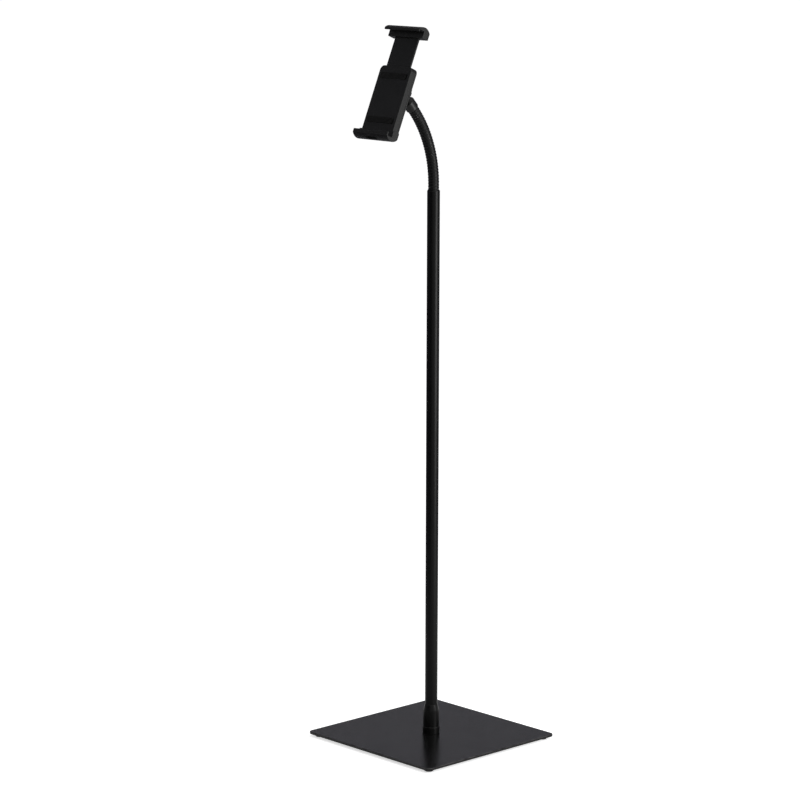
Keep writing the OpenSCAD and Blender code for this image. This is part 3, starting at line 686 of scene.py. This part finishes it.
def straight_end(ring, way, bend_r, helix_r, straight):
    """Rings that turn a wire along the helix's middle and run it straight; way is -1 or 1."""
    s, angle, _ = ring
    rings = [
        (s + way * bend_r * (1 - cos(a)), angle + way * bend_r * sin(a) / helix_r, a)
        for a in TAIL_LEANS
    ]
    rings.append((rings[-1][0] + way * straight, rings[-1][1], pi / 2))
    return rings if way > 0 else rings[::-1]


print("a wire's end turns in", len(TAIL_LEANS), "rings")

# %% Tubes along a line
ACROSS = Vector((1, 0, 0))


def close_loops(bm, loops):
    """Faces between loops of points, and one over each end."""
    count = len(loops[0])
    for near, far in zip(loops, loops[1:]):
        for i in range(count):
            j = (i + 1) % count
            bm.faces.new((near[i], near[j], far[j], far[i]))
    bm.faces.new(loops[0][::-1])
    bm.faces.new(loops[-1])


def tube(bm, line, rings, outline):
    """Closed tube; outline gives distances outwards from the line and along the wire's lean."""
    loops = []
    for s, angle, lean in rings:
        at, side, along = line(s)
        outward = cos(angle) * ACROSS + sin(angle) * side
        around = cos(angle) * side - sin(angle) * ACROSS
        upward = cos(lean) * along - sin(lean) * around
        loops.append([bm.verts.new(at + a * outward + b * upward) for a, b in outline])
    close_loops(bm, loops)


def disc(radius, offset, sides):
    """Round outline whose centre is offset metres out."""
    turns = [2 * pi * k / sides for k in range(sides)]
    return [(offset + radius * cos(a), radius * sin(a)) for a in turns]


print("angles round a wire start along", list(ACROSS))

# %% Outlines of both wires
COIL_PITCH, WIRE_R, COIL_R, WIRE_BEND, WIRE_SIDES = 0.005, 0.0017, 0.00775, 0.0022, 14
FILLER_R, FILLER_DEPTH, FILLER_HALF, FILLER_EDGE = 0.00895, 0.0017, 0.00092, 0.00018
RINGS_PER_TURN = 28

coil_outline = disc(WIRE_R, COIL_R, WIRE_SIDES)
filler_outline = [
    (FILLER_R - FILLER_EDGE, -FILLER_HALF), (FILLER_R, FILLER_EDGE - FILLER_HALF),
    (FILLER_R, FILLER_HALF - FILLER_EDGE), (FILLER_R - FILLER_EDGE, FILLER_HALF),
    (FILLER_R - FILLER_DEPTH, FILLER_EDGE), (FILLER_R - FILLER_DEPTH, -FILLER_EDGE),
]
coil_ends = (2 * WIRE_R + WIRE_BEND, NECK_LEN - 2 * WIRE_R - WIRE_BEND)
filler_ends = (coil_ends[0] + COIL_PITCH / 2, coil_ends[1] - COIL_PITCH / 2)
print("turns of the round wire:", round((coil_ends[1] - coil_ends[0]) / COIL_PITCH, 1))

# %% Wind the neck, one length for each hinge
NECK_BODIES = ("stand", "neck_2", "neck_3", "neck_4", "neck_5", "neck_tip")
HINGES = len(NECK_BODIES) - 1
half = NECK_FREE / HINGES / 2


def wind_coil(start, end, first, last):
    """Round wire, with a straight end in the pole and another in the ferrule."""
    rings = helix(start, end, COIL_PITCH, RINGS_PER_TURN)
    root = straight_end(rings[0], -1, WIRE_BEND, COIL_R, 2 * WIRE_R) if first else []
    tip = straight_end(rings[-1], 1, WIRE_BEND, COIL_R, 2 * WIRE_R) if last else []
    bm = bmesh.new()
    tube(bm, neck_line, root + rings + tip, coil_outline)
    return bm


def wind_filler(start, end):
    """Three-sided wire, half a turn away from the round one."""
    rings = helix(start, end, COIL_PITCH, RINGS_PER_TURN)
    bm = bmesh.new()
    tube(bm, neck_line, [(s, angle + pi, lean) for s, angle, lean in rings], filler_outline)
    return bm


for k in range(HINGES):
    first, last = k == 0, k == HINGES - 1
    cut = NECK_SUNK + NECK_FREE * (k + 0.5) / HINGES
    for wire, ends in (("neck_coil", coil_ends), ("neck_filler", filler_ends)):
        start = ends[0] if first else cut - half
        end = ends[1] if last else cut + half
        round_wire = wire == "neck_coil"
        bm = wind_coil(start, end, first, last) if round_wire else wind_filler(start, end)
        piece = link_mesh(f"{wire}_over_hinge_{k + 1}", bm)
        for n in [k + 1, k + 2] if last else [k + 1]:
            show(piece, f"{wire}_{n}")
        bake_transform(piece)
    print("hinge", k + 1, "wound from", round(cut - half, 4), "to", round(cut + half, 4))

# %% [markdown]
# ## Ferrule, ball and socket
# The neck ends in a turned ferrule with a ball stud. A slit socket holds the ball, and a fluted
# ring squeezes the socket's fingers. Turned pieces could be spun from a profile with the Screw
# modifier, but slits and flutes would still have to be cut. The solids have them already, so
# only their edges are broken.

# %% Ball joint
finished({
    "neck_tip_ferrule": 0.0005,
    "ball_stud": 0.0002,
    "ball_socket": 0.0003,
    "clamp_ring": 0.0005,
    "socket_pad": 0.0002,
})

# %% [markdown]
# ## Cradle and jaws
# Two moulded shells hold the slide plate between them, and a jaw at each end grips the device.
# They could be modelled with subdivision surfaces, but those swell flat faces, and the solids
# keep them flat. Mouldings have rounder edges than thin steel, because a mould is hard to cut
# with sharp inner corners.

# %% Shells, slide and jaws
finished({
    "cradle_front": 0.0008,
    "cradle_cover": 0.0008,
    "slide_plate": 0.0004,
    "lower_jaw": 0.0008,
    "upper_jaw": 0.0008,
})

# %% [markdown]
# ## Pads
# The pads are strips of rubber with low ribs, so that the device doesn't slip. Ribs could be a
# bump map, but they catch the light at their sides, so they are modelled: an outline with ribs
# is swept along each pad, and drawn in at both ends to round the pad's corners. The frame of the
# cradle comes from its joint: the joint's place is the ball, and its axis points forwards.

# %% Frame of the cradle
turn_joint = next(j for j in frame["joints"] if j["name"] == "cradle_turn")
ball_at = Vector(turn_joint["pos_m"])
cradle_back = -Vector(turn_joint["axis"]).normalized()
cradle_up = ACROSS.cross(cradle_back)
cradle_axes = Matrix((ACROSS, cradle_back, cradle_up)).transposed().to_4x4()
from_cradle = Matrix.Translation(ball_at) @ cradle_axes


def islands(node, from_frame):
    """Lowest and highest corner of each separate solid of a node, in the given frame."""
    to_frame = from_frame.inverted()
    bm = bmesh.new()
    bm.from_mesh(frame["nodes"][node].data)
    bmesh.ops.remove_doubles(bm, verts=bm.verts, dist=MERGE)
    found = []
    for group in groups(bm.verts, lambda v: [e.other_vert(v) for e in v.link_edges]):
        points = [to_frame @ v.co for v in group]
        low = Vector([min(p[i] for p in points) for i in range(3)])
        high = Vector([max(p[i] for p in points) for i in range(3)])
        found.append((low, high))
    bm.free()
    return found


print("cradle up:", [round(c, 4) for c in cradle_up])

# %% Outline with ribs
RIB_DEPTH, RIB_EDGE, GROOVE_SHARE = 0.0004, 0.00025, 0.28
EDGE_IN, EDGE_DOWN = 0.3, 0.5


def rib_outline(width, thick, ribs):
    """Outline across a pad: places over its width, heights above its seat."""
    pitch = width / ribs
    half_groove = pitch * GROOVE_SHARE / 2
    rise = (
        (0, thick - RIB_DEPTH),
        (RIB_EDGE * EDGE_IN, thick - RIB_EDGE * EDGE_DOWN),
        (RIB_EDGE, thick),
    )
    points = [(0, 0)]
    for i in range(ribs):
        low = i * pitch + (half_groove if i > 0 else 0)
        high = (i + 1) * pitch - (half_groove if i < ribs - 1 else 0)
        points += [(low + d, height) for d, height in rise]
        points += [(high - d, height) for d, height in reversed(rise)]
    return points + [(width, 0)]


def rib_height(outline, across):
    """Height of the ribbed top at a place over its width."""
    top = outline[1:-1]
    for (a, low), (b, high) in zip(top, top[1:]):
        if a <= across < b:
            return low + (high - low) * (across - a) / (b - a)
    return top[-1][1]


print("ribs", round(1000 * RIB_DEPTH, 2), "mm high")

# %% Ribbed pads
Y, Z = 1, 2
CORNER_ANGLES = [radians(a) for a in range(0, 91, 15)]


def ribbed_pad(bm, low, high, wide, thick, seat, corner, ribs):
    """Pad along X. wide and thick are the axes of its width and thickness, seat its fixed side."""
    width = high[wide] - low[wide]
    outline = rib_outline(width, high[thick] - low[thick], ribs)
    steps = [corner * (1 - cos(a)) for a in CORNER_ANGLES]
    loops = []
    for x in [low.x + d for d in steps] + [high.x - d for d in reversed(steps)]:
        end = min(x - low.x, high.x - x)
        drawn = corner - sqrt(max(corner**2 - max(corner - end, 0) ** 2, 0))
        loop = []
        for across, height in outline:
            kept = min(max(across, drawn), width - drawn)
            if kept != across and height > 0:
                height = rib_height(outline, min(kept, width - kept))
            point = Vector((x, 0, 0))
            point[wide] = low[wide] + kept
            point[thick] = low[thick] + height if seat == "low" else high[thick] - height
            loop.append(bm.verts.new(from_cradle @ point))
        loops.append(loop)
    close_loops(bm, loops)


pads = {
    "back_pads": dict(wide=Z, thick=Y, seat="high", corner=0.0025, ribs=5),
    "lower_jaw_pads": dict(wide=Y, thick=Z, seat="low", corner=0.001, ribs=4),
    "upper_jaw_pad": dict(wide=Y, thick=Z, seat="high", corner=0.001, ribs=4),
}
for node, details in pads.items():
    bm = bmesh.new()
    for low, high in islands(node, from_cradle):
        ribbed_pad(bm, low, high, **details)
    bmesh.ops.remove_doubles(bm, verts=bm.verts, dist=MERGE)
    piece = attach(show(link_mesh(node + "_ribbed", bm), node), body_of[node])
    print(piece.name, len(piece.data.vertices), "points")

# %% [markdown]
# ## Screws
# The small screws have cross recesses. A Boolean modifier cuts them: it is slower than drawing
# the recess by hand, but the head keeps its turned shape, and one cutter serves every screw. Its
# result is written back as a mesh, so no modifier is left on the piece.

# %% Cutter for a cross recess
ARM, ARM_HALF, TAPER = 0.32, 0.075, 0.55
RECESS, ABOVE = 0.0009, 0.0003


def cross_cutter(bm, at, outward, head_d):
    """Tapered cross that is driven into a screw head at its middle."""
    a, b = ARM * head_d, ARM_HALF * head_d
    cross = [
        (b, a), (-b, a), (-b, b), (-a, b), (-a, -b), (-b, -b),
        (-b, -a), (b, -a), (b, -b), (a, -b), (a, b), (b, b),
    ]
    spin = outward.to_track_quat("Z", "Y").to_matrix()
    loops = []
    for height, scale in ((ABOVE, 1.0), (-RECESS, TAPER)):
        points = [at + spin @ Vector((x * scale, y * scale, height)) for x, y in cross]
        loops.append([bm.verts.new(point) for point in points])
    close_loops(bm, loops)


print("recesses", round(1000 * RECESS, 2), "mm deep")

# %% Recessed screws
SCREW_EDGE, SCREW_SEGMENTS = 0.00012, 2


def recessed_screws(node, from_frame, axis, way, head_d):
    """Screws of a node, each with a recess at the end of the given axis."""
    outward = Vector((0, 0, 0))
    outward[axis] = way
    outward = (from_frame.to_3x3() @ outward).normalized()
    cutters = bmesh.new()
    for low, high in islands(node, from_frame):
        at = (low + high) / 2
        at[axis] = high[axis] if way > 0 else low[axis]
        cross_cutter(cutters, from_frame @ at, outward, head_d)
    tool = link_mesh(node + "_cutter", cutters)
    piece = link_mesh(node + "_recessed", rounded_copy(node, SCREW_EDGE, SCREW_SEGMENTS))
    cut = piece.modifiers.new("recess", "BOOLEAN")
    cut.object, cut.solver = tool, "EXACT"
    bpy.context.view_layer.update()
    worked_out = piece.evaluated_get(bpy.context.evaluated_depsgraph_get())
    result = bpy.data.meshes.new_from_object(worked_out)
    piece.modifiers.clear()
    piece.data = result
    bpy.data.objects.remove(tool)
    smooth(result)
    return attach(show(piece, node), body_of[node])


upright = Matrix.Identity(4)
screws = {
    "foot_screws": dict(from_frame=upright, axis=Z, way=-1, head_d=0.007),
    "socket_screws": dict(from_frame=from_cradle, axis=Y, way=1, head_d=0.005),
    "cover_screws": dict(from_frame=from_cradle, axis=Y, way=1, head_d=0.005),
    "slide_screws": dict(from_frame=from_cradle, axis=Y, way=1, head_d=0.005),
    "lower_jaw_screws": dict(from_frame=from_cradle, axis=Z, way=-1, head_d=0.005),
}
for node, details in screws.items():
    piece = recessed_screws(node, **details)
    print(piece.name, len(piece.data.vertices), "points")

# %% [markdown]
# ## Clamp springs
# Two tension springs pull the upper jaw down. A spring could be a curve with a round bevel, but
# these are wound with the same rings as the neck, along a straight line, so that their ends
# turn in the same way.

# %% Springs
SPRING_D, SPRING_WIRE_R, SPRING_TURNS, SPRING_BEND = 0.006, 0.00045, 13, 0.001
SPRING_RINGS, SPRING_SIDES = 20, 10
SPRING_R = SPRING_D / 2 - SPRING_WIRE_R
SPRING_END = 2 * SPRING_WIRE_R + SPRING_BEND


def line_up_cradle(x, y, z):
    """Straight middle line that rises along the cradle from a point in the cradle's frame."""

    def line(s):
        return from_cradle @ Vector((x, y, z + s)), cradle_back, cradle_up

    return line


bm = bmesh.new()
for low, high in islands("clamp_springs", from_cradle):
    middle = (low + high) / 2
    length = high.z - low.z
    pitch = (length - 2 * SPRING_END) / SPRING_TURNS
    wound = helix(SPRING_END, length - SPRING_END, pitch, SPRING_RINGS)
    root = straight_end(wound[0], -1, SPRING_BEND, SPRING_R, 2 * SPRING_WIRE_R)
    tip = straight_end(wound[-1], 1, SPRING_BEND, SPRING_R, 2 * SPRING_WIRE_R)
    to_front = -pi / 2 - tip[-1][1]
    turned = [(s, angle + to_front, lean) for s, angle, lean in root + wound + tip]
    line = line_up_cradle(middle.x, middle.y, low.z)
    tube(bm, line, turned, disc(SPRING_WIRE_R, SPRING_R, SPRING_SIDES))
springs = show(link_mesh("clamp_springs_wound", bm), "clamp_springs")
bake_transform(springs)
print(springs.name, len(springs.data.vertices), "points")

# %% [markdown]
# ## Last update
# The view layer is brought up to date once more.

# %% Update
bpy.context.view_layer.update()
